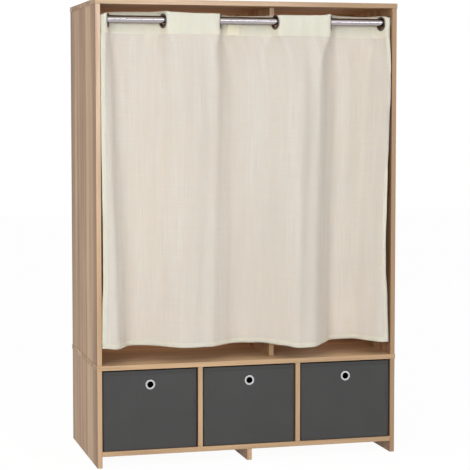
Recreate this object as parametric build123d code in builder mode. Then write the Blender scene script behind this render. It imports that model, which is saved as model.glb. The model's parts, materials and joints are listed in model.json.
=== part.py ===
from build123d import *
from math import atan2, cos, hypot, radians, sin, tan
import os

# Curtain wardrobe: a low unit with three fabric boxes carries a tall unit that a curtain closes.
# Frame: X is the width, the front faces -Y, Z is up, the floor is Z = 0, X = 0 is the middle.

# Boards and main sizes
overall_width = 1040
overall_height = 1540
side_depth = 507
board = 16
back_thickness = 3
top_overhang = 1.5
lower_height = 340
plinth_height = 38
edge_ease = 0.5
box_count = 3
hanging_bay_width = 592.5
divider_setback = 75
back_inset = 2
back_gap = 1

# Shelves and the pins that carry them
shelf_count = 3
shelf_side_gap = 1
shelf_front_setback = 15
shelf_rear_gap = 2
pin_diameter = 5
pin_bite = 9
pin_reach = 9
pin_collar_diameter = 8
pin_collar_thickness = 0.8
pin_inset = 50
pin_hole_pitch = 32
pin_holes_each_way = 2
pin_rest = 0.05

# Curtain rod and clothes rail
rod_diameter = 25
rod_wall = 1.2
rod_setback = 35
rod_drop = 47.5
rail_drop = 62
socket_flange_diameter = 46
socket_flange_thickness = 2
socket_cup_diameter = 29
socket_cup_depth = 6
socket_screw_circle = 37.5

# Curtain, as it hangs drawn across the front
cloth_thickness = 2
cloth_gap = 0.3
header_rise = 27
header_height = 76
curtain_length = 1113
cloth_side_gap = 5
cloth_right_gap = 6.5
eyelet_place_shares = (-0.4696, -0.2842, -0.0919, 0.0991, 0.2915, 0.4726)
eyelet_outer_diameter = 48
eyelet_bore = 34
eyelet_wall = 1.2
eyelet_flange = 2
eyelet_turn = 17
eyelet_rest = 0.3
# Folds: travels and shifts are shares of the space between two eyelets, and depths are measured
# from the rod's line. One travel and shift for each crossing, one depth for each panel between them
header_half_depth = 27
header_bend = 6
hem_half_depth = 50
hem_bend = 42
hem_travel_shares = (0.19, 0.26, 0.23, 0.26, 0.26, 0.17)
hem_shift_shares = (0.26, 0, 0.02, 0, -0.15, -0.26)
hem_depth_shares = (0.88, 0.76, 0.68, 0.68, 1.04, 0.8, 0.72)
middle_place_share = 0.22
middle_spread_share = 0.8
bend_room_share = 0.48

# Fabric boxes
box_depth = 480
box_side_gap = 3.5
box_top_gap = 5
box_rest = 0.3
box_front_setback = 3
box_wall = 4
box_corner = 6
base_board_thickness = 3
base_board_gap = 1
grip_ring_drop = 47
grip_ring_outer_diameter = 33
grip_ring_bore = 21
grip_ring_wall = 1
grip_ring_flange = 1.6
ring_corner_share = 0.4

# Fasteners
cam_diameter = 15
cam_depth = 12.5
cam_setback = 34
cam_slot_length = 10
cam_slot_width = 2
cam_slot_depth = 1.5
bolt_diameter = 7
bolt_thread_diameter = 6
bolt_thread_length = 11
bolt_neck = 28
bolt_neck_length = 3
bolt_neck_diameter = 3.5
bolt_head_room = 1.5
dowel_diameter = 8
dowel_length = 30
dowel_face_depth = 10
dowel_tip = 1
screw_diameter = 5
screw_length = 45
screw_head_diameter = 9
screw_head_height = 3
screw_socket_radius = 2
screw_point_radius = 0.6
cam_inset = 60
dowel_inset = 110
screw_inset = 60
upper_joint_shift = 25
flange_screw_diameter = 3.5
flange_screw_length = 14
flange_screw_head_diameter = 6.5
flange_screw_head_height = 1.5
flange_screw_slot_width = 0.9
nail_diameter = 1.6
nail_length = 20
nail_head_diameter = 4
nail_head_thickness = 0.6
nail_point_radius = 0.2
nail_pitch = 160
nail_end_inset = 25
fit = 0.1
nail_fit = 0.05
hole_end_gap = 0.5
overrun = 1

# Places worked out from the sizes
side_face = overall_width / 2 - top_overhang
inner_face = side_face - board
front = -(side_depth + back_thickness) / 2
back = front + side_depth
under_lower_top = lower_height - board
under_top = overall_height - board
floor_of_bays = plinth_height + board
bay_width = (2 * inner_face - (box_count - 1) * board) / box_count
bay_centres = [
    -inner_face + bay_width / 2 + i * (bay_width + board) for i in range(box_count)
]
lower_divider_places = [x + (bay_width + board) / 2 for x in bay_centres[:-1]]
divider_x = -inner_face + hanging_bay_width + board / 2
divider_front = front + divider_setback
rod_y = front + rod_setback
rod_z = under_top - rod_drop
rail_y = (divider_front + back) / 2
rail_z = under_top - rail_drop


def fastener_line(y_front, y_rear, inset):
    """The two places of a fastener along a board's edge."""
    return (y_front + inset, y_rear - inset)


class Joinery:
    """Where each board is drilled, and where each fastener sits.

    Every place is a plane at the contact of two boards. Its Z axis runs into the board
    whose end is joined, and its X axis points out of the face that the cam is let into.
    """

    def __init__(self):
        self.cams = []
        self.dowels = []
        self.screws = []
        self.drillings = {}

    def add(self, board_name, places, diameter, depth):
        self.drillings.setdefault(board_name, []).append((places, diameter, depth))

    def dowel(self, ending, receiving, planes):
        self.dowels += planes
        end_depth = dowel_length - dowel_face_depth + hole_end_gap
        self.add(ending, [out_of(p) for p in planes], dowel_diameter + 2 * fit, end_depth)
        self.add(receiving, planes, dowel_diameter + 2 * fit, dowel_face_depth + hole_end_gap)

    def cam(self, ending, receiving, planes):
        self.cams += planes
        mouths = [cam_mouth(p) for p in planes]
        self.add(ending, [out_of(p) for p in planes], bolt_diameter + 2 * fit, cam_setback)
        self.add(ending, mouths, cam_diameter + 2 * fit, cam_depth + hole_end_gap)
        face_depth = bolt_thread_length + hole_end_gap
        self.add(receiving, planes, bolt_thread_diameter + 2 * fit, face_depth)

    def screw(self, ending, receiving, planes):
        self.screws += planes
        end_depth = screw_length - board + hole_end_gap
        self.add(ending, [out_of(p) for p in planes], screw_diameter + 2 * fit, end_depth)
        self.add(receiving, planes, screw_diameter + 2 * fit, board)
        heads = [out_of(moved_in(p, -board)) for p in planes]
        self.add(receiving, heads, screw_head_diameter + 2 * fit, screw_head_height)


def moved_in(plane, distance):
    """The same plane, moved along its own Z axis."""
    return Plane(plane.origin + plane.z_dir * distance, x_dir=plane.x_dir, z_dir=plane.z_dir)


def out_of(plane):
    """The same place, facing the other way, so that a hole is drilled along the plane's Z axis."""
    return Plane(plane.origin, x_dir=plane.x_dir, z_dir=-plane.z_dir)


def cam_mouth(plane):
    """The mouth of the cam's pocket, on the face of the joined board."""
    mouth = plane.origin + plane.z_dir * cam_setback + plane.x_dir * (board / 2)
    return Plane(mouth, x_dir=plane.z_dir, z_dir=plane.x_dir)


def drill(places, diameter, depth):
    """Blind holes that start at each place and run against its Z axis."""
    starts = [moved_in(place, overrun) for place in places]
    with Locations(*starts):
        Cylinder(
            diameter / 2,
            depth + overrun,
            align=(Align.CENTER, Align.CENTER, Align.MAX),
            mode=Mode.SUBTRACT,
        )


joinery = Joinery()


def upright_planes(x, z, way, cam_side, y_places):
    """Places where an upright board's end meets a flat board; way is +1 if it rises from there."""
    return [Plane((x, y, z), x_dir=(cam_side, 0, 0), z_dir=(0, 0, way)) for y in y_places]


def join_upright(ending, receiving, x, z, way, cam_side, y_front, shift=0):
    """The upper boards' fasteners are shifted, so that they miss the lower boards' ones."""
    cam_line = fastener_line(y_front, back, cam_inset + shift)
    dowel_line = fastener_line(y_front, back, dowel_inset + shift)
    joinery.cam(ending, receiving, upright_planes(x, z, way, cam_side, cam_line))
    joinery.dowel(ending, receiving, upright_planes(x, z, way, cam_side, dowel_line))


side_middle = side_face - board / 2
sides = (("left", -1), ("right", 1))
for side, sign in sides:
    x = sign * side_middle
    join_upright(f"lower_side_{side}", "lower_top_board", x, under_lower_top, -1, -sign, front)
    upper_side = f"upper_side_{side}"
    shift = upper_joint_shift
    join_upright(upper_side, "lower_top_board", x, lower_height, 1, -sign, front, shift)
    join_upright(upper_side, "top_board", x, under_top, -1, -sign, front, shift)
    for kind, inset in ((joinery.cam, cam_inset), (joinery.dowel, dowel_inset)):
        z = plinth_height + board / 2
        ends = [
            Plane((sign * inner_face, y, z), x_dir=(0, 0, -1), z_dir=(-sign, 0, 0))
            for y in fastener_line(front, back, inset)
        ]
        kind("bottom_board", f"lower_side_{side}", ends)
join_upright("upper_divider", "lower_top_board", divider_x, lower_height, 1, -1, divider_front)
join_upright("upper_divider", "top_board", divider_x, under_top, -1, -1, divider_front)

lower_divider_names = [f"lower_divider_{i + 1}" for i in range(box_count - 1)]
for name, x in zip(lower_divider_names, lower_divider_places):
    join_upright(name, "lower_top_board", x, under_lower_top, -1, -1, front)
    dowel_line = fastener_line(front, back, dowel_inset)
    screw_line = fastener_line(front, back, screw_inset)
    joinery.dowel(name, "bottom_board", upright_planes(x, floor_of_bays, 1, -1, dowel_line))
    joinery.screw(name, "bottom_board", upright_planes(x, floor_of_bays, 1, -1, screw_line))
foot_dowels = upright_planes(0, plinth_height, -1, -1, fastener_line(front, back, dowel_inset))
foot_screws = upright_planes(0, plinth_height, -1, -1, fastener_line(front, back, screw_inset))
joinery.dowel("centre_foot", "bottom_board", foot_dowels)
joinery.screw("centre_foot", "bottom_board", foot_screws)


# Sockets that hold the curtain rod and the clothes rail, each on the face of a board
def socket_plane(x, y, z, way):
    """Z axis points out of the board, along the rod."""
    return Plane((x, y, z), x_dir=(0, 0, 1), z_dir=(way, 0, 0))


rail_right_face = divider_x - board / 2
sockets = {
    "rod_socket_left": ("upper_side_left", socket_plane(-inner_face, rod_y, rod_z, 1)),
    "rod_socket_right": ("upper_side_right", socket_plane(inner_face, rod_y, rod_z, -1)),
    "rail_socket_left": ("upper_side_left", socket_plane(-inner_face, rail_y, rail_z, 1)),
    "rail_socket_right": ("upper_divider", socket_plane(rail_right_face, rail_y, rail_z, -1)),
}


def flange_screw_places(plane):
    """Screw places on the board's face, above and below the rod."""
    reach = plane.x_dir * (socket_screw_circle / 2)
    return [
        Plane(plane.origin + reach * way, x_dir=plane.x_dir, z_dir=plane.z_dir)
        for way in (1, -1)
    ]


for carrier, plane in sockets.values():
    bite = flange_screw_length - socket_flange_thickness + hole_end_gap
    hole = flange_screw_diameter + 2 * nail_fit
    joinery.add(carrier, flange_screw_places(plane), hole, bite)

# Shelf places: the bay's height is shared evenly, and a pin carries each corner
shelf_x_low = divider_x + board / 2
shelf_x_high = inner_face
shelf_front = divider_front + shelf_front_setback
shelf_rear = back - shelf_rear_gap
bay_height = under_top - lower_height
shelf_space = (bay_height - shelf_count * board) / (shelf_count + 1)
shelf_heights = [
    lower_height + (i + 1) * shelf_space + i * board for i in range(shelf_count)
]
pin_rows = (shelf_front + pin_inset, shelf_rear - pin_inset)


def pin_places(z_places):
    """Pin holes in the divider and in the right side, facing each other."""
    on_divider = [
        Plane((shelf_x_low, y, z), x_dir=(0, 0, 1), z_dir=(1, 0, 0))
        for y in pin_rows
        for z in z_places
    ]
    on_side = [
        Plane((shelf_x_high, y, z), x_dir=(0, 0, 1), z_dir=(-1, 0, 0))
        for y in pin_rows
        for z in z_places
    ]
    return on_divider, on_side


pin_heights = [z - pin_diameter / 2 - pin_rest for z in shelf_heights]
steps = range(-pin_holes_each_way, pin_holes_each_way + 1)
hole_heights = [z + i * pin_hole_pitch for z in pin_heights for i in steps]
divider_pin_holes, side_pin_holes = pin_places(hole_heights)
joinery.add("upper_divider", divider_pin_holes, pin_diameter + 2 * fit, pin_bite + hole_end_gap)
joinery.add("upper_side_right", side_pin_holes, pin_diameter + 2 * fit, pin_bite + hole_end_gap)


# Nails that hold the back panels: planes on the panels' rear faces, Z pointing to the rear
def spread(low, high, pitch):
    """Evenly spaced places from low to high, at most a pitch apart."""
    count = max(1, round((high - low) / pitch))
    return [low + (high - low) * i / count for i in range(count + 1)]


rear = back + back_thickness
half_board = board / 2


def nail_plane(x, z):
    return Plane((x, rear, z), x_dir=(1, 0, 0), z_dir=(0, 1, 0))


def nail_row(z, x_low, x_high):
    return [nail_plane(x, z) for x in spread(x_low, x_high, nail_pitch)]


def nail_column(x, z_low, z_high):
    low = z_low + nail_end_inset
    high = z_high - nail_end_inset
    return [nail_plane(x, z) for z in spread(low, high, nail_pitch)]


lower_back_low = plinth_height + back_inset
lower_back_high = lower_height - back_inset
upper_back_low = lower_height + back_inset
upper_back_high = overall_height - back_inset
back_edge = side_face - back_inset
row_end = inner_face - nail_end_inset
seam_inset = board / 4
divider_left_line = divider_x - seam_inset
divider_right_line = divider_x + seam_inset
nails = {
    "bottom_board": nail_row(plinth_height + half_board, -row_end, row_end),
    "lower_top_board": nail_row(lower_height - half_board, -row_end, row_end),
    "upper_side_left": nail_column(-side_middle, lower_height, under_top),
    "upper_side_right": nail_column(side_middle, lower_height, under_top),
    "lower_side_left": nail_column(-side_middle, floor_of_bays, under_lower_top),
    "lower_side_right": nail_column(side_middle, floor_of_bays, under_lower_top),
    "upper_divider": nail_column(divider_left_line, lower_height, under_top)
    + nail_column(divider_right_line, lower_height, under_top),
    "top_board": nail_row(under_top + half_board, -row_end, divider_x - nail_end_inset)
    + nail_row(under_top + half_board, divider_x + nail_end_inset, row_end),
}
for name, x in zip(lower_divider_names, lower_divider_places):
    nails[name] = nail_column(x, floor_of_bays, under_lower_top)
nail_planes = [plane for planes in nails.values() for plane in planes]
nail_bite = nail_length - back_thickness + hole_end_gap
for name, planes in nails.items():
    in_board = [moved_in(plane, -back_thickness) for plane in planes]
    joinery.add(name, in_board, nail_diameter + 2 * nail_fit, nail_bite)

os.makedirs("parts", exist_ok=True)


def save(solid, name):
    solid.label = name
    export_step(solid, f"parts/{name}.step")


# Boards
def make_board(name, x_low, x_high, y_low, y_high, z_low, z_high):
    """One board with its front edges eased and its holes drilled."""
    with BuildPart() as piece:
        with BuildSketch(Plane.XY.offset(z_low)):
            with Locations(((x_low + x_high) / 2, (y_low + y_high) / 2)):
                Rectangle(x_high - x_low, y_high - y_low)
        extrude(amount=z_high - z_low)
        chamfer(piece.edges().group_by(Axis.Y)[0], edge_ease)
        for places, diameter, depth in joinery.drillings.get(name, []):
            drill(places, diameter, depth)
    save(piece.part, name)


for side, sign in sides:
    x_low, x_high = sorted((sign * inner_face, sign * side_face))
    make_board(f"lower_side_{side}", x_low, x_high, front, back, 0, under_lower_top)
    make_board(f"upper_side_{side}", x_low, x_high, front, back, lower_height, under_top)
make_board("bottom_board", -inner_face, inner_face, front, back, plinth_height, floor_of_bays)
for name, x in zip(lower_divider_names, lower_divider_places):
    make_board(name, x - half_board, x + half_board, front, back, floor_of_bays, under_lower_top)
make_board("centre_foot", -half_board, half_board, front, back, 0, plinth_height)
half_width = overall_width / 2
top_front = front - top_overhang
make_board(
    "lower_top_board", -half_width, half_width, top_front, back, under_lower_top, lower_height
)
make_board("top_board", -half_width, half_width, top_front, back, under_top, overall_height)
make_board(
    "upper_divider",
    divider_x - half_board,
    divider_x + half_board,
    divider_front,
    back,
    lower_height,
    under_top,
)
for number, z in enumerate(shelf_heights, start=1):
    make_board(
        f"shelf_{number}",
        shelf_x_low + shelf_side_gap,
        shelf_x_high - shelf_side_gap,
        shelf_front,
        shelf_rear,
        z,
        z + board,
    )


# Back panels: thin sheets nailed over the rear edges
def make_back(name, x_low, x_high, z_low, z_high):
    with BuildPart() as piece:
        with BuildSketch(Plane.XZ.offset(-back)):
            with Locations(((x_low + x_high) / 2, (z_low + z_high) / 2)):
                Rectangle(x_high - x_low, z_high - z_low)
        extrude(amount=-back_thickness)
        inside = [
            plane
            for plane in nail_planes
            if x_low < plane.origin.X < x_high and z_low < plane.origin.Z < z_high
        ]
        drill(inside, nail_diameter + 2 * nail_fit, back_thickness + overrun)
    save(piece.part, name)


make_back("lower_back", -back_edge, back_edge, lower_back_low, lower_back_high)
seam_left = divider_x - back_gap / 2
seam_right = divider_x + back_gap / 2
make_back("upper_back_left", -back_edge, seam_left, upper_back_low, upper_back_high)
make_back("upper_back_right", seam_right, back_edge, upper_back_low, upper_back_high)


# Fasteners: identical ones share a node
def make_group(name, places, piece):
    """Sets a copy of the piece at every place."""
    with BuildPart() as group:
        with Locations(*places):
            add(piece)
    save(group.part, name)


def turned(*stations):
    """A turned piece: stations are (height, radius) pairs from its foot to its top."""
    outline = [(0, stations[0][0])]
    outline += [(radius, height) for height, radius in stations]
    outline += [(0, stations[-1][0])]
    with BuildPart() as shaft:
        with BuildSketch(Plane.XZ):
            with BuildLine():
                Polyline(*outline, close=True)
            make_face()
        revolve(axis=Axis.Z)
    return shaft.part


def cam_lock():
    with BuildPart() as cam:
        add(turned((-cam_depth, cam_diameter / 2), (0, cam_diameter / 2)))
        with BuildSketch():
            Rectangle(cam_slot_length, cam_slot_width)
            Rectangle(cam_slot_width, cam_slot_length)
        extrude(amount=-cam_slot_depth, mode=Mode.SUBTRACT)
        # The bolt's head enters through the side that faces the joint
        with BuildSketch(Plane.YZ.offset(-cam_diameter)):
            with Locations((0, -board / 2)):
                Circle(bolt_diameter / 2 + fit)
        extrude(amount=cam_diameter + bolt_head_room, mode=Mode.SUBTRACT)
    return cam.part


def cam_bolt():
    return turned(
        (-bolt_thread_length, bolt_thread_diameter / 2),
        (0, bolt_thread_diameter / 2),
        (0, bolt_diameter / 2),
        (bolt_neck, bolt_diameter / 2),
        (bolt_neck, bolt_neck_diameter / 2),
        (bolt_neck + bolt_neck_length, bolt_neck_diameter / 2),
        (bolt_neck + bolt_neck_length, bolt_thread_diameter / 2),
        (cam_setback, bolt_thread_diameter / 2),
    )


def wood_dowel():
    low = -dowel_face_depth
    high = dowel_length - dowel_face_depth
    radius = dowel_diameter / 2
    tip_radius = radius - dowel_tip
    return turned(
        (low, tip_radius), (low + dowel_tip, radius), (high - dowel_tip, radius), (high, tip_radius)
    )


def board_screw():
    point = screw_length - board
    with BuildPart() as screw:
        add(
            turned(
                (-board, screw_head_diameter / 2),
                (-board + screw_head_height, screw_head_diameter / 2),
                (-board + screw_head_height, screw_diameter / 2),
                (point - screw_diameter, screw_diameter / 2),
                (point, screw_point_radius),
            )
        )
        with BuildSketch(Plane.XY.offset(-board)):
            RegularPolygon(screw_socket_radius, 6)
        extrude(amount=screw_head_height / 2, mode=Mode.SUBTRACT)
    return screw.part


def back_nail():
    return turned(
        (-nail_length, nail_point_radius),
        (-nail_length + nail_diameter, nail_diameter / 2),
        (0, nail_diameter / 2),
        (0, nail_head_diameter / 2),
        (nail_head_thickness, nail_head_diameter / 2),
    )


def shelf_pin():
    radius = pin_diameter / 2
    collar = pin_collar_diameter / 2
    return turned(
        (-pin_bite, radius),
        (0, radius),
        (0, collar),
        (pin_collar_thickness, collar),
        (pin_collar_thickness, radius),
        (pin_reach, radius),
    )


make_group("cam_locks", [cam_mouth(plane) for plane in joinery.cams], cam_lock())
make_group("cam_bolts", joinery.cams, cam_bolt())
make_group("wood_dowels", joinery.dowels, wood_dowel())
make_group("board_screws", joinery.screws, board_screw())
make_group("back_nails", nail_planes, back_nail())
divider_pins, side_pins = pin_places(pin_heights)
make_group("shelf_pins", divider_pins + side_pins, shelf_pin())


# Rods in their sockets
def make_tube(name, x_low, x_high, y, z):
    with BuildPart() as tube:
        with BuildSketch(Plane((x_low, y, z), x_dir=(0, 1, 0), z_dir=(1, 0, 0))):
            Circle(rod_diameter / 2)
            Circle(rod_diameter / 2 - rod_wall, mode=Mode.SUBTRACT)
        extrude(amount=x_high - x_low)
    save(tube.part, name)


rod_end_gap = socket_flange_thickness + fit
make_tube("curtain_rod", -inner_face + rod_end_gap, inner_face - rod_end_gap, rod_y, rod_z)
make_tube(
    "clothes_rail", -inner_face + rod_end_gap, rail_right_face - rod_end_gap, rail_y, rail_z
)


def make_socket(name, plane):
    """A flange with a shallow cup for the rod's end, screwed to the board."""
    with BuildPart() as socket:
        with BuildSketch(plane):
            Circle(socket_flange_diameter / 2)
        extrude(amount=socket_flange_thickness)
        with BuildSketch(moved_in(plane, socket_flange_thickness)):
            Circle(socket_cup_diameter / 2)
            Circle(rod_diameter / 2 + fit, mode=Mode.SUBTRACT)
        extrude(amount=socket_cup_depth)
        faces = [moved_in(place, socket_flange_thickness) for place in flange_screw_places(plane)]
        shank_hole = flange_screw_diameter + 2 * nail_fit
        head_hole = flange_screw_head_diameter + 2 * nail_fit
        drill(faces, shank_hole, socket_flange_thickness + overrun)
        drill(faces, head_hole, flange_screw_head_height)
    save(socket.part, name)


def flange_screw():
    top = socket_flange_thickness
    shoulder = top - flange_screw_head_height
    point = top - flange_screw_length
    with BuildPart() as screw:
        add(
            turned(
                (point, nail_point_radius),
                (point + flange_screw_diameter, flange_screw_diameter / 2),
                (shoulder, flange_screw_diameter / 2),
                (shoulder, flange_screw_head_diameter / 2),
                (top, flange_screw_head_diameter / 2),
            )
        )
        with BuildSketch(Plane.XY.offset(top)):
            Rectangle(flange_screw_diameter, flange_screw_slot_width)
            Rectangle(flange_screw_slot_width, flange_screw_diameter)
        extrude(amount=-flange_screw_head_height / 2, mode=Mode.SUBTRACT)
    return screw.part


for name, (carrier, plane) in sockets.items():
    make_socket(name, plane)
flange_screws = [place for _, plane in sockets.values() for place in flange_screw_places(plane)]
make_group("socket_screws", flange_screws, flange_screw())


# Spool-shaped rings: the curtain's eyelets and the boxes' grip rings
def make_ring(name, centre, axis, sizes):
    """sizes: outer diameter, bore, wall of the barrel, flange thickness, grip between flanges."""
    outer, bore, wall, flange, grip = sizes
    inner_radius = bore / 2
    barrel_radius = inner_radius + wall
    outer_radius = outer / 2
    low = grip / 2
    high = low + flange
    outline = (
        (inner_radius, -high),
        (outer_radius, -high),
        (outer_radius, -low),
        (barrel_radius, -low),
        (barrel_radius, low),
        (outer_radius, low),
        (outer_radius, high),
        (inner_radius, high),
    )
    upright = Vector(0, 0, 1)
    with BuildPart() as ring:
        with BuildSketch(Plane(centre, x_dir=upright, z_dir=upright.cross(axis))) as section:
            with BuildLine():
                Polyline(*outline, close=True)
            make_face()
            outer_ends = [v for v in section.vertices() if abs(abs(v.Y) - high) < flange / 2]
            fillet(outer_ends, flange * ring_corner_share)
        revolve(axis=Axis(centre, axis))
    save(ring.part, name)


cloth_grip = cloth_thickness + 2 * cloth_gap
eyelet_sizes = (eyelet_outer_diameter, eyelet_bore, eyelet_wall, eyelet_flange, cloth_grip)
eyelet_places = [share * 2 * inner_face for share in eyelet_place_shares]
eyelet_z = rod_z - (eyelet_bore - rod_diameter) / 2 + eyelet_rest
turn = radians(eyelet_turn)


def eyelet_axis(number):
    """Odd eyelets turn one way and even ones the other, as the cloth weaves round the rod."""
    way = -1 if number % 2 == 0 else 1
    return Vector(cos(turn), way * sin(turn), 0)


for number, x in enumerate(eyelet_places):
    make_ring(
        f"curtain_eyelet_{number + 1}", Vector(x, rod_y, eyelet_z), eyelet_axis(number), eyelet_sizes
    )


# Curtain: it crosses the rod at each eyelet, and its folds deepen towards the hem
def runs_and_turns(points):
    """Each run of a bent line as a vector, and the angle of each inner corner, left positive."""
    runs = [Vector(*end) - Vector(*start) for start, end in zip(points, points[1:])]
    turns = [atan2(a.cross(b).Z, a.dot(b)) for a, b in zip(runs, runs[1:])]
    return runs, turns


def offset_corners(points, distance):
    """The corners of a line that runs beside a bent line, to its left."""
    runs, turns = runs_and_turns(points)
    headings = [run.normalized() for run in runs]
    bisectors = [(a + b).normalized() for a, b in zip(headings, headings[1:])]
    moved = []
    half_turns = [0] + [corner / 2 for corner in turns] + [0]
    for point, way, half_turn in zip(points, [headings[0], *bisectors, headings[-1]], half_turns):
        reach = distance / cos(half_turn)
        moved.append((point[0] - reach * way.Y, point[1] + reach * way.X))
    return moved


def bend_radii(points, bend):
    """The bend's radius at each inner corner, limited by the shorter of its two runs."""
    runs, turns = runs_and_turns(points)
    shorter_runs = [min(a.length, b.length) for a, b in zip(runs, runs[1:])]
    return [
        min(bend, bend_room_share * run / tan(abs(corner) / 2))
        for run, corner in zip(shorter_runs, turns)
    ]


def bent_line(points, radii):
    """Straight runs joined by tangent arcs, one radius for each inner corner."""
    runs, turns = runs_and_turns(points)
    start = Vector(*points[0])
    for i, (corner, radius) in enumerate(zip(turns, radii)):
        way_in = runs[i].normalized()
        way_out = runs[i + 1].normalized()
        point = Vector(*points[i + 1])
        reach = radius * tan(abs(corner) / 2)
        arc_start = point - way_in * reach
        arc_end = point + way_out * reach
        middle = point + (way_out - way_in).normalized() * radius * (1 / cos(corner / 2) - 1)
        Line(start, arc_start)
        ThreePointArc(arc_start, middle, arc_end)
        start = arc_end
    Line(start, points[-1])


cloth_left = -inner_face + cloth_side_gap
cloth_right = inner_face - cloth_right_gap


def cloth_section(z, travels, shifts, depths, bend):
    """Closed outline of the cloth at one height."""
    middle_line = [(cloth_left, rod_y - depths[0])]
    radii_sign = []
    for number, (place, travel, shift) in enumerate(zip(eyelet_places, travels, shifts)):
        way = 1 if number % 2 == 0 else -1
        before, after = depths[number : number + 2]
        x = place + shift
        middle_line += [(x - travel, rod_y - way * before), (x + travel, rod_y + way * after)]
        radii_sign += [way, -way]
    middle_line.append((cloth_right, rod_y - depths[-1]))
    half = cloth_thickness / 2
    rear_line = offset_corners(middle_line, half)
    front_line = offset_corners(middle_line, -half)
    radii = bend_radii(middle_line, bend)
    rear_radii = [radius - sign * half for radius, sign in zip(radii, radii_sign)]
    front_radii = [radius + sign * half for radius, sign in zip(radii, radii_sign)]
    with BuildSketch(Plane.XY.offset(z)) as section:
        with BuildLine():
            bent_line(rear_line, rear_radii)
            Line(rear_line[-1], front_line[-1])
            bent_line(front_line[::-1], front_radii[::-1])
            Line(front_line[0], rear_line[0])
        make_face()
    return section.sketch


def between(start, end, way):
    """The value that lies a share of the way from start to end."""
    return start + (end - start) * way


eyelet_pitch = (eyelet_places[-1] - eyelet_places[0]) / (len(eyelet_places) - 1)
header_half_travel = header_half_depth * tan(turn)
cloth_top = rod_z + header_rise
header_foot = cloth_top - header_height
hem_z = cloth_top - curtain_length


def fold_section(z, spread, down):
    """The cloth's outline where its folds have opened by a share, and drifted by another."""
    travels = [
        between(header_half_travel, share * eyelet_pitch, spread) for share in hem_travel_shares
    ]
    shifts = [share * eyelet_pitch * down for share in hem_shift_shares]
    depths = [
        between(header_half_depth, share * hem_half_depth, spread) for share in hem_depth_shares
    ]
    return cloth_section(z, travels, shifts, depths, between(header_bend, hem_bend, spread))


with BuildPart() as curtain:
    fold_sections = [
        fold_section(cloth_top, 0, 0),
        fold_section(header_foot, 0, 0),
        fold_section(
            between(header_foot, hem_z, middle_place_share), middle_spread_share, middle_place_share
        ),
        fold_section(hem_z, 1, 1),
    ]
    loft(fold_sections, ruled=True)
    barrel = eyelet_bore / 2 + eyelet_wall + cloth_gap
    through = eyelet_outer_diameter / 2
    for number, x in enumerate(eyelet_places):
        axis = eyelet_axis(number)
        start = Vector(x, rod_y, eyelet_z) - axis * (through / 2)
        with BuildSketch(Plane(start, x_dir=(0, 0, 1), z_dir=axis)):
            Circle(barrel)
        extrude(amount=through, mode=Mode.SUBTRACT)
save(curtain.part, "curtain")

# Fabric boxes, open at the top, with a ring round the finger hole in the front
box_width = bay_width - 2 * box_side_gap
box_z = floor_of_bays + box_rest
box_height = under_lower_top - box_top_gap - box_z
box_front = front + box_front_setback
ring_z = under_lower_top - box_top_gap - grip_ring_drop
ring_sizes = (
    grip_ring_outer_diameter,
    grip_ring_bore,
    grip_ring_wall,
    grip_ring_flange,
    box_wall + 2 * cloth_gap,
)
box_middle = box_front + box_depth / 2
slack = box_wall + base_board_gap
for number, x in enumerate(bay_centres, start=1):
    with BuildPart() as fabric_box:
        with BuildSketch(Plane.XY.offset(box_z)):
            with Locations((x, box_middle)):
                RectangleRounded(box_width, box_depth, box_corner)
        extrude(amount=box_height)
        with BuildSketch(Plane.XY.offset(box_z + box_wall)):
            with Locations((x, box_middle)):
                RectangleRounded(
                    box_width - 2 * box_wall, box_depth - 2 * box_wall, box_corner - box_wall
                )
        extrude(amount=box_height, mode=Mode.SUBTRACT)
        hole = Plane((x, box_front, ring_z), x_dir=(1, 0, 0), z_dir=(0, -1, 0))
        drill([hole], grip_ring_bore + 2 * grip_ring_wall + 2 * cloth_gap, box_wall + overrun)
    save(fabric_box.part, f"fabric_box_{number}")

    with BuildPart() as base_board:
        with BuildSketch(Plane.XY.offset(box_z + box_wall)):
            with Locations((x, box_middle)):
                Rectangle(box_width - 2 * slack, box_depth - 2 * slack)
        extrude(amount=base_board_thickness)
    save(base_board.part, f"box_base_board_{number}")

    ring_centre = Vector(x, box_front + box_wall / 2, ring_z)
    make_ring(f"box_grip_ring_{number}", ring_centre, Vector(0, 1, 0), ring_sizes)

# Length of the cloth's middle line at the header, which is the flat width that the curtain is cut to
crossing_gain = 2 * hypot(header_half_travel, header_half_depth) - 2 * header_half_travel
header_run = cloth_right - cloth_left + len(eyelet_places) * crossing_gain
print("cloth width before bends are taken off, mm:", round(header_run, 1))
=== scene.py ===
import json
from math import pi, radians, sin, tan

import bmesh
import bpy
import numpy as np
from mathutils import Matrix, Vector

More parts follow.
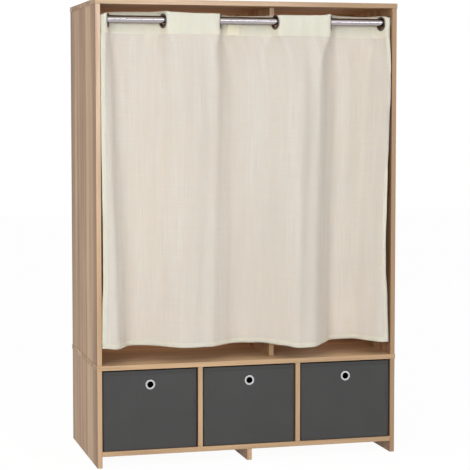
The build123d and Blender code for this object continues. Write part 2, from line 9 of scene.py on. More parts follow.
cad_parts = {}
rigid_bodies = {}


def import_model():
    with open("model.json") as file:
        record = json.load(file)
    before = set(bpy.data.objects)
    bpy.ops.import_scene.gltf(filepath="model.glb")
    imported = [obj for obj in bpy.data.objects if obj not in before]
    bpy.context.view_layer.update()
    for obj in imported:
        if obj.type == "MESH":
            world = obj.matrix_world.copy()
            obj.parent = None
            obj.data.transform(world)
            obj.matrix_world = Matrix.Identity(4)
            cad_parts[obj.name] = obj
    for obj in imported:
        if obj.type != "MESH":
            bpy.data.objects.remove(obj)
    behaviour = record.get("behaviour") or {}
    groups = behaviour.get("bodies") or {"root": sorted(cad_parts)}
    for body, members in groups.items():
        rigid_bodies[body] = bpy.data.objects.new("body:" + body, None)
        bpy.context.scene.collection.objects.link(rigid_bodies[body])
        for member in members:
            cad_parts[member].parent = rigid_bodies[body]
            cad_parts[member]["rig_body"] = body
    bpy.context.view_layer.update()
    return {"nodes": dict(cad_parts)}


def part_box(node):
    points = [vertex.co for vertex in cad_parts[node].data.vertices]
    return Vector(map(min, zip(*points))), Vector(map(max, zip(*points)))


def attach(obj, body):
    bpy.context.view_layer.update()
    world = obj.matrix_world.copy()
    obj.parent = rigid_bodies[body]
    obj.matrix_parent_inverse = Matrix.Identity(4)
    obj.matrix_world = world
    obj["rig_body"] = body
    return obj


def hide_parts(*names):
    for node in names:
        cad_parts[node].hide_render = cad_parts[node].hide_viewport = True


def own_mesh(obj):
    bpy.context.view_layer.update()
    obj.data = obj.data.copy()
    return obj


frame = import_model()
nodes = frame["nodes"]
scene = bpy.context.scene

# Places read from the frame, in metres
ROOT = "wardrobe"
ROD_LOW, ROD_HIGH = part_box("curtain_rod")
ROD_Y = (ROD_LOW.y + ROD_HIGH.y) / 2
CLOTH_LOW, CLOTH_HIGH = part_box("curtain")
EYELET_COUNT = 6
EYELET_BOXES = [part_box(f"curtain_eyelet_{i + 1}") for i in range(EYELET_COUNT)]
EYELETS = [(low + high) / 2 for low, high in EYELET_BOXES]
SHELF_COUNT = 3
SHELF_FRONT_Y = min(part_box(f"shelf_{i + 1}")[0].y for i in range(SHELF_COUNT))
BOX_COUNT = 3

# Axes that a board's grain and a metal's brushing run along
ACROSS, UP = 0, 2

# Curtain, cut size and hems
CURTAIN_WIDTH = 1.225
CURTAIN_LENGTH = 1.113
HEADER_HEIGHT = 0.076
BOTTOM_HEM = 0.016
SIDE_HEM = 0.014
CLOTH_THICKNESS = 0.0011
HEM_PLY = 0.0006
HEADER_JOIN_X = -0.018
JOIN_WIDTH = 0.045
JOIN_PLY = 0.0020
SHELF_CLEARANCE = 0.0025
EYELET_HOLE = 0.0195
RING_TURN = radians(17)
CLOTH_CELL = 0.0062
HEM_CELL = CLOTH_CELL * 0.8

# Folds at the header and at the hem. Each crossing of the rod's line travels sideways by one value
# each way, and each panel between two crossings has its depth from the rod's line. Travels, depths,
# bends and shifts change quickly below the header, the drifts evenly down to the hem.
HEADER_DEPTH = 0.027
HEADER_TRAVEL = HEADER_DEPTH * tan(RING_TURN)
HEADER_BEND = 0.008
HEM_TRAVELS = np.array([0.024, 0.049, 0.043, 0.050, 0.046, 0.032])
FOLD_SHIFTS = np.array([0.0, 0.0, 0.002, 0.0, -0.022, 0.0])
HEM_DRIFTS = np.array([0.049, 0.0, 0.002, 0.0, -0.005, -0.049])
HEM_DEPTHS = np.array([0.038, 0.037, 0.029, 0.031, 0.062, 0.042, 0.036])
HEM_BEND = 0.042
# Share of the drop in which most of the quick change happens
FOLD_FADE = 0.07
# The gains of the folds' depth between which each row's own is looked for, by halving
DEPTH_GAINS = (0.6, 1.5)
GAIN_HALVINGS = 14

# Where the cloth's side edges hang, in from the sides of its solid, at shares of the drop
LEFT_EDGE_INSET = (
    (0.0, -0.0035), (0.22, -0.0035), (0.35, -0.0030), (0.50, -0.0015),
    (0.62, 0.0), (0.80, 0.0), (0.87, -0.0030), (1.0, -0.0040),
)
RIGHT_EDGE_INSET = (
    (0.0, 0.0), (0.08, 0.0), (0.18, 0.0045), (0.27, 0.0118), (0.47, 0.0123),
    (0.56, 0.0140), (0.66, 0.0168), (0.76, 0.0153), (0.85, 0.0090), (1.0, 0.0038),
)

# Heights of the cloth's top edge and header seam at places across the wardrobe
TOP_EDGE = (
    (-0.500, 1.4885), (-0.480, 1.4955), (-0.462, 1.5002), (-0.400, 1.5018), (-0.333, 1.5025),
    (-0.288, 1.5052), (-0.262, 1.5010), (-0.180, 1.4985), (-0.093, 1.4982), (-0.050, 1.4920),
    (0.000, 1.4930), (0.045, 1.4938), (0.100, 1.4962), (0.180, 1.4964), (0.250, 1.4975),
    (0.294, 1.5028), (0.340, 1.4978), (0.420, 1.4956), (0.470, 1.4985), (0.500, 1.4915),
)
HEADER_SEAM = ((-0.500, 1.4312), (-0.200, 1.4290), (0.100, 1.4268), (0.500, 1.4238))
# Heights of the hem at shares of the cloth's width
HEM_EDGE = (
    (0.0, 0.3985), (0.05, 0.3945), (0.14, 0.3935), (0.29, 0.3900), (0.42, 0.3900), (0.52, 0.3895),
    (0.60, 0.3860), (0.67, 0.3800), (0.76, 0.3845), (0.87, 0.3880), (0.95, 0.3860), (1.0, 0.3850),
)


def srgb(red, green, blue):
    """An 8-bit colour as the linear one that a shader takes."""
    def linear(value):
        share = value / 255
        return share / 12.92 if share <= 0.04045 else ((share + 0.055) / 1.055) ** 2.4
    return (linear(red), linear(green), linear(blue), 1.0)


def darkened(colour, share):
    return tuple(channel * share for channel in colour[:3]) + (1.0,)


class Finish:
    """A material under construction: short calls that add and join nodes."""

    def __init__(self, name, roughness, metallic=0.0):
        self.material = bpy.data.materials.new(name)
        self.material.use_nodes = True
        self.tree = self.material.node_tree
        self.shader = self.tree.nodes["Principled BSDF"]
        self.shader.inputs["Roughness"].default_value = roughness
        self.shader.inputs["Metallic"].default_value = metallic

    def feed(self, target, value):
        """Joins a socket to an input, or sets the input to a plain value."""
        if isinstance(value, bpy.types.NodeSocket):
            self.tree.links.new(value, target)
        else:
            target.default_value = value

    def node(self, kind, inputs=None, **settings):
        made = self.tree.nodes.new(kind)
        for key, value in settings.items():
            setattr(made, key, value)
        for key, value in (inputs or {}).items():
            self.feed(made.inputs[key], value)
        return made

    def link(self, socket, name):
        self.tree.links.new(socket, self.shader.inputs[name])

    def coordinates(self, output="Object", scale=(1, 1, 1)):
        source = self.node("ShaderNodeTexCoord").outputs[output]
        return self.node("ShaderNodeMapping", {"Vector": source, "Scale": scale}).outputs[0]

    def drawn_out(self, along, factor):
        """Coordinates scaled on one axis: a factor below 1 draws a texture out along it."""
        scale = [1.0, 1.0, 1.0]
        scale[along] = factor
        return self.coordinates(scale=tuple(scale))

    def axes(self, output="Object"):
        """A coordinate's three numbers, as the sockets X, Y and Z."""
        return self.node("ShaderNodeSeparateXYZ", {"Vector": self.coordinates(output)}).outputs

    def noise(self, vector, scale, detail=2.0, rough=0.5, distortion=0.0):
        inputs = {
            "Vector": vector, "Scale": scale, "Detail": detail, "Roughness": rough,
            "Distortion": distortion,
        }
        return self.node("ShaderNodeTexNoise", inputs).outputs["Fac"]

    def ramp(self, value, stops):
        made = self.node("ShaderNodeValToRGB", {"Fac": value})
        elements = made.color_ramp.elements
        while len(elements) < len(stops):
            elements.new(0.5)
        for element, (place, colour) in zip(elements, stops):
            element.position = place
            element.color = colour
        return made.outputs["Color"]

    def math(self, operation, *values):
        return self.node("ShaderNodeMath", dict(enumerate(values)), operation=operation).outputs[0]

    def times(self, first, second):
        return self.math("MULTIPLY", first, second)

    def largest(self, first, second):
        return self.math("MAXIMUM", first, second)

    def span(self, value, low, high, to_low=0.0, to_high=1.0):
        inputs = {
            "Value": value, "From Min": low, "From Max": high, "To Min": to_low, "To Max": to_high,
        }
        return self.node("ShaderNodeMapRange", inputs).outputs["Result"]

    def mix(self, factor, first, second):
        made = self.node("ShaderNodeMix", data_type="RGBA")
        for name, kind, value in (
            ("Factor", "VALUE", factor), ("A", "RGBA", first), ("B", "RGBA", second),
        ):
            self.feed(next(s for s in made.inputs if s.name == name and s.type == kind), value)
        return next(s for s in made.outputs if s.type == "RGBA")

    def bump(self, height, strength, distance):
        inputs = {"Height": height, "Strength": strength, "Distance": distance}
        self.link(self.node("ShaderNodeBump", inputs).outputs["Normal"], "Normal")


# Wood finish: foil with an oak figure along the board
FIGURE_DARK = srgb(122, 83, 56)
FIGURE_ROSY = srgb(165, 124, 93)
FIGURE_OLIVE = srgb(162, 131, 94)
FIGURE_LIGHT = srgb(200, 168, 131)
# Darker edge tone, used for the edges' grain streaks and for painted shade towards the right
EDGE_GRAIN_AND_PAINTED_SHADE = srgb(170, 140, 110)
EDGE_GOLDEN = srgb(202, 168, 130)
# Painted highlight on the front edges high up
EDGE_PAINTED_HIGHLIGHT = srgb(224, 200, 180)
BACK_REAR = srgb(168, 136, 104)
BACK_REAR_DARK = srgb(148, 117, 88)


# Scales along the board that draw each texture out, and how densely the figure's rings lie
GRAIN_STRETCH = 0.035
FIGURE_STRETCH = 0.05
PORE_STRETCH = 0.02
RING_DENSITY = 95.0


def wood_face(finish, along, narrow, streaks):
    """A board's broad faces: dark and light bands, curved rings and pale streaks along it."""
    figure = finish.drawn_out(along, FIGURE_STRETCH)
    wide = finish.noise(figure, 9.5, 4.0, 0.6, 0.25)
    hue = finish.noise(figure, 6.3, 1.0, 0.4, 0.2)
    tone = finish.math("ADD", finish.times(wide, 0.58), finish.times(narrow, 0.42))
    middle = finish.mix(finish.span(hue, 0.42, 0.58), FIGURE_ROSY, FIGURE_OLIVE)
    dark_band = finish.span(tone, 0.50, 0.40, 0.0, 0.85)
    light_band = finish.span(tone, 0.50, 0.59, 0.0, 0.9)
    base = finish.mix(light_band, finish.mix(dark_band, middle, FIGURE_DARK), FIGURE_LIGHT)
    level = finish.noise(figure, 3.2, 2.0, 0.45, 0.25)
    rings = finish.span(finish.math("SINE", finish.times(level, RING_DENSITY)), -1, 1)
    toned = finish.mix(finish.times(rings, 0.26), base, FIGURE_DARK)
    return finish.mix(finish.span(streaks, 0.42, 0.68, 0.0, 0.45), toned, FIGURE_LIGHT)


def wood_edge(finish, along, place, streaks):
    """A board's front edge: golden low down, painted highlight high up, painted shade to the right,
    grain streaks darker.
    """
    # Painted highlight: the edge pales to rosy towards the top, more on the uprights.
    painted_highlight_share = finish.span(place["Z"], 0.55, 1.5, 0.05, 0.8 if along == UP else 0.65)
    edge = finish.mix(painted_highlight_share, EDGE_GOLDEN, EDGE_PAINTED_HIGHLIGHT)
    # Painted shade: the edge darkens towards the right, fully on the uprights, and at the top
    # board's right end.
    painted_shade_share = finish.span(place["X"], 0.05, 0.5, 0.0, 1.0 if along == UP else 0.3)
    if along == ACROSS:
        painted_shade_top_right = finish.times(
            finish.span(place["Z"], 1.3, 1.5), finish.span(place["X"], -0.10, 0.30)
        )
        painted_shade_share = finish.largest(painted_shade_share, finish.times(painted_shade_top_right, 0.9))
    edge = finish.mix(painted_shade_share, edge, EDGE_GRAIN_AND_PAINTED_SHADE)
    return finish.mix(finish.span(streaks, 0.36, 0.62, 0.60, 0.0), edge, EDGE_GRAIN_AND_PAINTED_SHADE)


def wood_finish(name, along, rear_is_plain=False):
    """Foil whose grain runs along an axis; what faces the front carries the lighter edge."""
    finish = Finish(name, 0.5)
    grain = finish.drawn_out(along, GRAIN_STRETCH)
    narrow = finish.noise(grain, 34, 4.0, 0.6, 0.15)
    streaks = finish.noise(grain, 85, 4.0, 0.6, 0.2)
    place, facing = finish.axes(), finish.axes("Normal")
    face = wood_face(finish, along, narrow, streaks)
    # Painted shade: the uprights' faces, back panels included, darken near the front edge and
    # towards the rear.
    if along == UP:
        painted_shade_near_front = finish.span(place["Y"], -0.17, -0.24, 0.0, 0.42)
        painted_shade_near_rear = finish.span(place["Y"], 0.20, 0.25, 0.0, 0.30)
        face = finish.mix(finish.largest(painted_shade_near_front, painted_shade_near_rear), face, FIGURE_DARK)
    pores = finish.noise(finish.drawn_out(along, PORE_STRETCH), 620, 2.0, 0.6)
    pore_tone = finish.span(pores, 0.56, 0.72, 0.0, 0.45)
    face = finish.mix(pore_tone, face, FIGURE_DARK)
    # Painted light: the boards' top faces are lighter towards the front, where light falls on them.
    if along == ACROSS:
        painted_light_front_strip = finish.span(place["Y"], 0.02, -0.25, 0.0, 0.75)
        on_top = finish.span(facing["Z"], 0.6, 0.9)
        face = finish.mix(finish.times(painted_light_front_strip, on_top), face, FIGURE_LIGHT)
    edge = wood_edge(finish, along, place, streaks)
    colour = finish.mix(finish.span(facing["Y"], -0.6, -0.9), face, edge)
    if rear_is_plain:
        fibre = finish.noise(finish.coordinates(), 220, 5.0, 0.7)
        plain = finish.ramp(fibre, ((0.3, BACK_REAR_DARK), (0.7, BACK_REAR)))
        colour = finish.mix(finish.span(facing["Y"], 0.6, 0.9), colour, plain)
    finish.link(colour, "Base Color")
    finish.link(finish.span(streaks, 0.3, 0.7, 0.44, 0.58), "Roughness")
    finish.shader.inputs["Specular IOR Level"].default_value = 0.3
    finish.bump(finish.math("SUBTRACT", finish.times(narrow, 0.3), pore_tone), 0.25, 0.0004)
    return finish.material


# Scale along a brushed axis that packs the noise into fine lines across it
BRUSH_PACKING = 30.0


def metal_finish(name, colour, roughness, along=None, brushing=0.06, smudge=0.86, rim=(1, 1, 1)):
    """Plated or bare metal, brushed round an axis; rim tints what it shows at a slant."""
    finish = Finish(name, roughness, 1.0)
    place = finish.coordinates() if along is None else finish.drawn_out(along, BRUSH_PACKING)
    lines = finish.noise(place, 90, 4.0, 0.65)
    smudges = finish.noise(finish.coordinates(), 45, 3.0, 0.6)
    tones = finish.ramp(smudges, ((0.35, darkened(colour, smudge)), (0.62, colour)))
    finish.link(tones, "Base Color")
    rough = finish.span(lines, 0.3, 0.7, roughness - brushing, roughness + brushing)
    finish.link(rough, "Roughness")
    finish.shader.inputs["Specular Tint"].default_value = (*rim, 1.0)
    finish.bump(lines, 0.08, 0.0002)
    return finish.material


def dowel_finish():
    finish = Finish("beech_dowel", 0.65)
    grain = finish.noise(finish.drawn_out(UP, 0.1), 700, 3.0, 0.6)
    tones = finish.ramp(grain, ((0.3, srgb(196, 158, 112)), (0.7, srgb(222, 188, 144))))
    finish.link(tones, "Base Color")
    finish.bump(grain, 0.2, 0.0002)
    return finish.material


CREAM_SINGLE = srgb(230, 221, 210)
CREAM_SINGLE_SHADE = srgb(220, 209, 196)
CREAM_DOUBLE = srgb(253, 236, 211)
THREAD_PITCH = 0.0014


def curtain_finish():
    """Plain weave with slubs along both threads, and a warmer tone where the cloth is doubled."""
    finish = Finish("curtain_weave", 0.88)
    parts = finish.axes("UV")
    across, down = parts["X"], parts["Y"]
    thread = 2 * pi / THREAD_PITCH
    warp = finish.span(finish.math("SINE", finish.times(across, thread)), -1, 1)
    weft = finish.span(finish.math("SINE", finish.times(down, thread)), -1, 1)
    weave = finish.math("ADD", finish.times(warp, 0.5), finish.times(weft, 0.5))
    long_slubs = finish.noise(finish.coordinates("UV", (1, 0.02, 1)), 240, 3.0, 0.7)
    cross_slubs = finish.noise(finish.coordinates("UV", (0.02, 1, 1)), 240, 3.0, 0.7)
    soft = finish.noise(finish.coordinates("UV", (1, 0.12, 1)), 15, 2.0, 0.5)
    slubs = finish.math("ADD", finish.times(long_slubs, 0.68), finish.times(cross_slubs, 0.32))
    single = finish.ramp(slubs, ((0.34, CREAM_SINGLE_SHADE), (0.62, CREAM_SINGLE)))
    single = finish.mix(finish.span(soft, 0.40, 0.62, 0.0, 0.6), single, CREAM_SINGLE_SHADE)
    in_header = finish.math("LESS_THAN", down, HEADER_HEIGHT)
    in_hem = finish.math("GREATER_THAN", down, CURTAIN_LENGTH - BOTTOM_HEM)
    at_left = finish.math("LESS_THAN", across, SIDE_HEM)
    at_right = finish.math("GREATER_THAN", across, CURTAIN_WIDTH - SIDE_HEM)
    double = finish.largest(
        finish.largest(in_header, in_hem), finish.largest(at_left, at_right)
    )
    colour = finish.mix(finish.times(double, 0.85), single, CREAM_DOUBLE)
    between_threads = finish.span(weave, 0.0, 0.5, 0.14, 0.0)
    finish.link(finish.mix(between_threads, colour, CREAM_SINGLE_SHADE), "Base Color")
    finish.shader.inputs["Specular IOR Level"].default_value = 0.25
    finish.shader.inputs["Subsurface Weight"].default_value = 1.0
    finish.shader.inputs["Subsurface Radius"].default_value = (1.0, 0.9, 0.75)
    finish.shader.inputs["Subsurface Scale"].default_value = 0.0036
    finish.bump(finish.math("ADD", weave, finish.times(slubs, 1.6)), 0.35, 0.0004)
    return finish.material


def thread_finish(name, colour):
    finish = Finish(name, 0.8)
    twist = finish.noise(finish.coordinates(), 2200, 1.0, 0.5)
    finish.link(finish.ramp(twist, ((0.3, darkened(colour, 0.8)), (0.7, colour))), "Base Color")
    finish.bump(twist, 0.3, 0.0002)
    return finish.material


def felt_finish(name, light, dark):
    """Non-woven cloth: matted fibres, pressed with a fine grid of dots."""
    finish = Finish(name, 0.93)
    place = finish.coordinates()
    fibres = finish.noise(place, 950, 4.0, 0.75, 0.6)
    clouds = finish.noise(place, 9, 3.0, 0.55)
    dots = finish.node(
        "ShaderNodeTexVoronoi", {"Vector": place, "Scale": 620.0, "Randomness": 0.25}
    ).outputs["Distance"]
    colour = finish.ramp(fibres, ((0.32, dark), (0.68, light)))
    colour = finish.mix(finish.span(clouds, 0.3, 0.7, 0.0, 0.35), colour, dark)
    finish.link(colour, "Base Color")
    finish.shader.inputs["Specular IOR Level"].default_value = 0.2
    finish.shader.inputs["Sheen Weight"].default_value = 0.06
    finish.shader.inputs["Sheen Roughness"].default_value = 0.6
    height = finish.math("ADD", fibres, finish.span(dots, 0.0, 0.5))
    finish.bump(height, 0.35, 0.0004)
    return finish.material


CHARCOAL_LIGHT = srgb(83, 83, 83)
CHARCOAL_DARK = srgb(67, 67, 67)
finishes = {
    "upright": wood_finish("oak_foil_upright", UP),
    "across": wood_finish("oak_foil_across", ACROSS),
    "back": wood_finish("oak_foil_back_panel", UP, rear_is_plain=True),
    "rod": metal_finish(
        "rod_plating", (0.43, 0.405, 0.42, 1.0), 0.10, along=ACROSS, brushing=0.03, smudge=0.95,
        rim=(0.15, 0.12, 0.15),
    ),
    "socket": metal_finish("socket_plating", (0.70, 0.69, 0.69, 1.0), 0.24),
    "eyelet": metal_finish("eyelet_plating", (0.20, 0.175, 0.16, 1.0), 0.25, rim=(0.4, 0.36, 0.35)),
    "grip": metal_finish("grip_ring_plating", (0.60, 0.60, 0.62, 1.0), 0.26),
    "zinc": metal_finish("cast_zinc", (0.55, 0.55, 0.57, 1.0), 0.42, brushing=0.1),
    "steel": metal_finish("zinc_plated_steel", (0.58, 0.58, 0.60, 1.0), 0.34, brushing=0.08),
    "dowel": dowel_finish(),
    "cloth": curtain_finish(),
    "cloth_thread": thread_finish("cream_thread", srgb(240, 232, 210)),
    "felt": felt_finish("charcoal_felt", CHARCOAL_LIGHT, CHARCOAL_DARK),
    "felt_tape": felt_finish("charcoal_binding", srgb(80, 80, 80), srgb(62, 62, 62)),
    "felt_thread": thread_finish("charcoal_thread", srgb(96, 96, 98)),
}


def paint(node_name, finish_name):
    target = nodes[node_name]
    if not target.material_slots:
        target.data.materials.append(finishes[finish_name])
    for place in target.material_slots:
        place.material = finishes[finish_name]


UPRIGHT_NODES = (
    "lower_side_left", "lower_side_right", "upper_side_left", "upper_side_right",
    "lower_divider_1", "lower_divider_2", "upper_divider", "centre_foot",
)
ACROSS_NODES = (
    "lower_top_board", "bottom_board", "top_board", *(f"shelf_{i + 1}" for i in range(SHELF_COUNT)),
)
BACK_NODES = ("lower_back", "upper_back_left", "upper_back_right")
for finish_name, names in (
    ("upright", UPRIGHT_NODES),
    ("across", ACROSS_NODES),
    ("back", BACK_NODES),
    ("rod", ("curtain_rod", "clothes_rail")),
    ("socket", ("rod_socket_left", "rod_socket_right", "rail_socket_left", "rail_socket_right")),
    ("eyelet", [f"curtain_eyelet_{i + 1}" for i in range(EYELET_COUNT)]),
    ("grip", [f"box_grip_ring_{i + 1}" for i in range(BOX_COUNT)]),
    ("felt", [f"box_base_board_{i + 1}" for i in range(BOX_COUNT)]),
    ("zinc", ("cam_locks", "cam_bolts")),
    ("steel", ("board_screws", "back_nails", "shelf_pins", "socket_screws")),
    ("dowel", ("wood_dowels",)),
):
    for name in names:
        paint(name, finish_name)


def to_object(name, mesh_maker):
    """Turns a finished bmesh into an object at the origin."""
    mesh = bpy.data.meshes.new(name)
    mesh_maker.to_mesh(mesh)
    mesh_maker.free()
    made = bpy.data.objects.new(name, mesh)
    scene.collection.objects.link(made)
    return made


def add_piece(name, mesh_maker, finish_name, body):
    """Makes a smooth piece from a bmesh, which rides on a body."""
    piece = to_object(name, mesh_maker)
    piece.data.materials.append(finishes[finish_name])
    for polygon in piece.data.polygons:
        polygon.use_smooth = True
    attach(piece, body)
    return piece


def thicken(piece, thickness):
    """Gives a sheet its thickness, half to each side."""
    wall = piece.modifiers.new("thickness", "SOLIDIFY")
    wall.thickness = thickness
    wall.offset = 0.0
    wall.use_rim = True


# Curtain: a table of points on the hung cloth, from its cut size to its place in the room
ROW_COUNT = 90
COLUMN_COUNT = 700
# Steps in which each rounded corner of a row is drawn
CORNER_STEPS = 8


def at_places(table, wanted):
    """Smooth interpolation in a short table of (place, value)."""
    places = np.array([p for p, _ in table])
    values = np.array([v for _, v in table])
    index = np.clip(np.searchsorted(places, wanted) - 1, 0, len(places) - 2)
    step = np.clip((wanted - places[index]) / (places[index + 1] - places[index]), 0, 1)
    smooth = step * step * (3 - 2 * step)
    return values[index] + (values[index + 1] - values[index]) * smooth


def rounded_path(corners, bend):
    """Points along a bent line whose inner corners are rounded, close enough to measure."""
    points = [Vector(corners[0])]
    for before, corner, after in zip(corners, corners[1:], corners[2:]):
        corner = Vector(corner)
        to_before = Vector(before) - corner
        to_after = Vector(after) - corner
        turn = pi - to_before.angle(to_after)
        room = 0.49 * min(to_before.length, to_after.length)
        reach = min(room, bend * tan(turn / 2))
        start = corner + to_before.normalized() * reach
        end = corner + to_after.normalized() * reach
        for step in range(CORNER_STEPS + 1):
            share = step / CORNER_STEPS
            first = start.lerp(corner, share)
            points.append(first.lerp(corner.lerp(end, share), share))
    points.append(Vector(corners[-1]))
    return np.array([tuple(p) for p in points])


def measured(path):
    """Distance along a path at each of its points."""
    return np.concatenate(([0], np.cumsum(np.linalg.norm(np.diff(path, axis=0), axis=1))))


def header_puckers(across, drop):
    """Small upright ripples that the eyelets press into the stiff header."""
    fade = np.clip(1 - drop / 0.10, 0, 1)
    short = np.sin(2 * pi * across / 0.0185 + 1.2 * np.sin(2 * pi * across / 0.11)) * 0.00045
    long = np.sin(2 * pi * across / 0.047 + 0.6) * 0.0010
    return (short + long) * fade


# Waves of the creases across the cloth: length, height, phase, and its change down the drop
CREASES = ((0.083, 0.0036, 0.8, 1.1), (0.139, 0.0052, 2.1, -0.7), (0.057, 0.0015, 4.0, 2.3))


def soft_creases(across, drop):
    """Small upright creases that grow below the header and fade a little towards the hem."""
    fade_in = np.clip(drop / 0.12, 0, 1)
    fade_out = 1 - 0.55 * np.clip((drop - 0.3) / 0.7, 0, 1)
    waves = sum(
        np.sin(2 * pi * across / length + phase + change * drop) * height
        for length, height, phase, change in CREASES
    )
    return waves * fade_in * fade_out


def cloth_row(drop, depth_gain):
    """The cloth's line in plan at a share of its drop below the header, as x and y."""
    share = np.clip(drop, 0, 1)
    spread = (1 - np.exp(-share / FOLD_FADE)) / (1 - np.exp(-1 / FOLD_FADE))
    travels = HEADER_TRAVEL + (HEM_TRAVELS - HEADER_TRAVEL) * spread
    depths = (HEADER_DEPTH + (HEM_DEPTHS - HEADER_DEPTH) * spread) * depth_gain
    bend = HEADER_BEND + (HEM_BEND - HEADER_BEND) * spread
    crossings = np.array([eyelet.x for eyelet in EYELETS])
    crossings = crossings + FOLD_SHIFTS * spread + HEM_DRIFTS * share
    left = CLOTH_LOW.x + at_places(LEFT_EDGE_INSET, share)
    right = CLOTH_HIGH.x - at_places(RIGHT_EDGE_INSET, share)
    corners = [(left, ROD_Y - depths[0])]
    for number, (x, travel) in enumerate(zip(crossings, travels)):
        way = 1 if number % 2 == 0 else -1
        before, after = depths[number:number + 2] * way
        corners += [(x - travel, ROD_Y - before), (x + travel, ROD_Y + after)]
    corners.append((right, ROD_Y - depths[-1]))
    path = rounded_path(corners, bend)
    lengths = measured(path)
    places = np.linspace(0, lengths[-1], COLUMN_COUNT)
    row = np.column_stack([np.interp(places, lengths, path[:, axis]) for axis in (0, 1)])
    row[:, 1] += soft_creases(places, share) + header_puckers(places, share)
    row[:, 1] = np.minimum(row[:, 1], SHELF_FRONT_Y - SHELF_CLEARANCE)
    return row


def cloth_row_of_width(drop):
    """The row whose length is the cloth's cut width, found by the gain of its folds' depth."""
    low, high = DEPTH_GAINS
    for _ in range(GAIN_HALVINGS):
        gain = (low + high) / 2
        if measured(cloth_row(drop, gain))[-1] < CURTAIN_WIDTH:
            low = gain
        else:
            high = gain
    return cloth_row(drop, gain)


def even_spacing(row):
    """The same row with its points evenly spaced along the cloth."""
    lengths = measured(row)
    places = np.linspace(0, lengths[-1], COLUMN_COUNT)
    return np.column_stack([np.interp(places, lengths, row[:, axis]) for axis in (0, 1)])


row_drops = np.linspace(-HEADER_HEIGHT / (CURTAIN_LENGTH - HEADER_HEIGHT), 1, ROW_COUNT)
cloth_rows = np.array(
    [even_spacing(cloth_row_of_width(max(drop, 0.0))) for drop in row_drops]
)


def hung(across, down):
    """Where points of the flat cloth hang, given in metres from its top left corner."""
    across_share = np.clip(across / CURTAIN_WIDTH, 0, 1)
    down_share = np.clip(down / CURTAIN_LENGTH, 0, 1)
    column = across_share * (COLUMN_COUNT - 1)
    row = down_share * (ROW_COUNT - 1)
    column_low = np.minimum(column.astype(int), COLUMN_COUNT - 2)
    row_low = np.minimum(row.astype(int), ROW_COUNT - 2)
    column_part = (column - column_low)[:, None]
    row_part = (row - row_low)[:, None]
    upper, lower = (
        cloth_rows[rows, column_low] * (1 - column_part)
        + cloth_rows[rows, column_low + 1] * column_part
        for rows in (row_low, row_low + 1)
    )
    plan = upper * (1 - row_part) + lower * row_part
    header_place = np.interp(column, range(COLUMN_COUNT), cloth_rows[0, :, 0])
    top = at_places(TOP_EDGE, header_place)
    seam = at_places(HEADER_SEAM, header_place)
    hem = at_places(HEM_EDGE, across_share)
    in_header = down <= HEADER_HEIGHT
    header_height = top + (seam - top) * down / HEADER_HEIGHT
    body_height = seam + (hem - seam) * (down - HEADER_HEIGHT) / (CURTAIN_LENGTH - HEADER_HEIGHT)
    height = np.where(in_header, header_height, body_height)
    return np.column_stack([plan, height])


def flat_places():
    """Each eyelet's place on the flat cloth: where the hung header passes its centre."""
    header_row = cloth_rows[0]
    found = []
    for eyelet in EYELETS:
        gaps = np.hypot(header_row[:, 0] - eyelet.x, header_row[:, 1] - eyelet.y)
        across = np.argmin(gaps) / (COLUMN_COUNT - 1) * CURTAIN_WIDTH
        top = at_places(TOP_EDGE, eyelet.x)
        seam = at_places(HEADER_SEAM, eyelet.x)
        down = (top - eyelet.z) / (top - seam) * HEADER_HEIGHT
        found.append(Vector((across, down)))
    return found


EYELET_FLAT = flat_places()


def flat_sheet(left, right, top, bottom, cell=CLOTH_CELL):
    """A flat grid over part of the cloth, with its place on the cloth kept as its UV map."""
    width, height = right - left, bottom - top
    mesh = bmesh.new()
    columns = max(2, round(width / cell))
    rows = max(2, round(height / cell))
    bmesh.ops.create_grid(mesh, x_segments=columns, y_segments=rows, size=0.5)
    bmesh.ops.scale(mesh, vec=(width, -height, 1), verts=mesh.verts)
    bmesh.ops.translate(mesh, vec=(left + width / 2, top + height / 2, 0), verts=mesh.verts)
    return mesh


# Shares of a hole's radius: faces with a corner nearer than the first go, and the rim that is left
# is looked for within the second
HOLE_CORE = 0.86
HOLE_SURROUND = 1.9


def punch(mesh, centre, radius):
    """Opens a round hole in a flat grid and draws the hole's rim to its circle."""
    outer_rim = {v for v in mesh.verts if v.is_boundary}
    core = radius * HOLE_CORE
    inside = [f for f in mesh.faces if any((v.co.xy - centre).length < core for v in f.verts)]
    bmesh.ops.delete(mesh, geom=inside, context="FACES")
    for vertex in mesh.verts:
        away = vertex.co.xy - centre
        at_hole = vertex.is_boundary and vertex not in outer_rim
        if at_hole and away.length < radius * HOLE_SURROUND:
            vertex.co.x, vertex.co.y = centre + away.normalized() * radius


# How far along the cloth its direction is measured
TANGENT_STEP = 0.0005


def hang(mesh, push=0.0):
    """Keeps the flat places as a UV map, then moves every vertex to where it hangs.

    A push moves the whole sheet off the cloth, to its rear if it is above 0.
    """
    layer = mesh.loops.layers.uv.new("cloth")
    for face in mesh.faces:
        for loop in face.loops:
            loop[layer].uv = loop.vert.co.xy
    mesh.verts.ensure_lookup_table()
    flat = np.array([v.co[:2] for v in mesh.verts])
    places = hung(flat[:, 0], flat[:, 1])
    if push:
        near = hung(np.clip(flat[:, 0] + TANGENT_STEP, 0, CURTAIN_WIDTH), flat[:, 1])
        far = hung(np.clip(flat[:, 0] - TANGENT_STEP, 0, CURTAIN_WIDTH), flat[:, 1])
        along = near - far
        away = np.column_stack([-along[:, 1], along[:, 0]])
        away /= np.maximum(np.linalg.norm(away, axis=1), 1e-9)[:, None]
        places[:, :2] += away * push
    for vertex, place in zip(mesh.verts, places):
        vertex.co = place
    bmesh.ops.recalc_face_normals(mesh, faces=mesh.faces)
    return mesh


def draws(piece):
    """Gives the piece a mesh of its own."""
    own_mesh(piece)


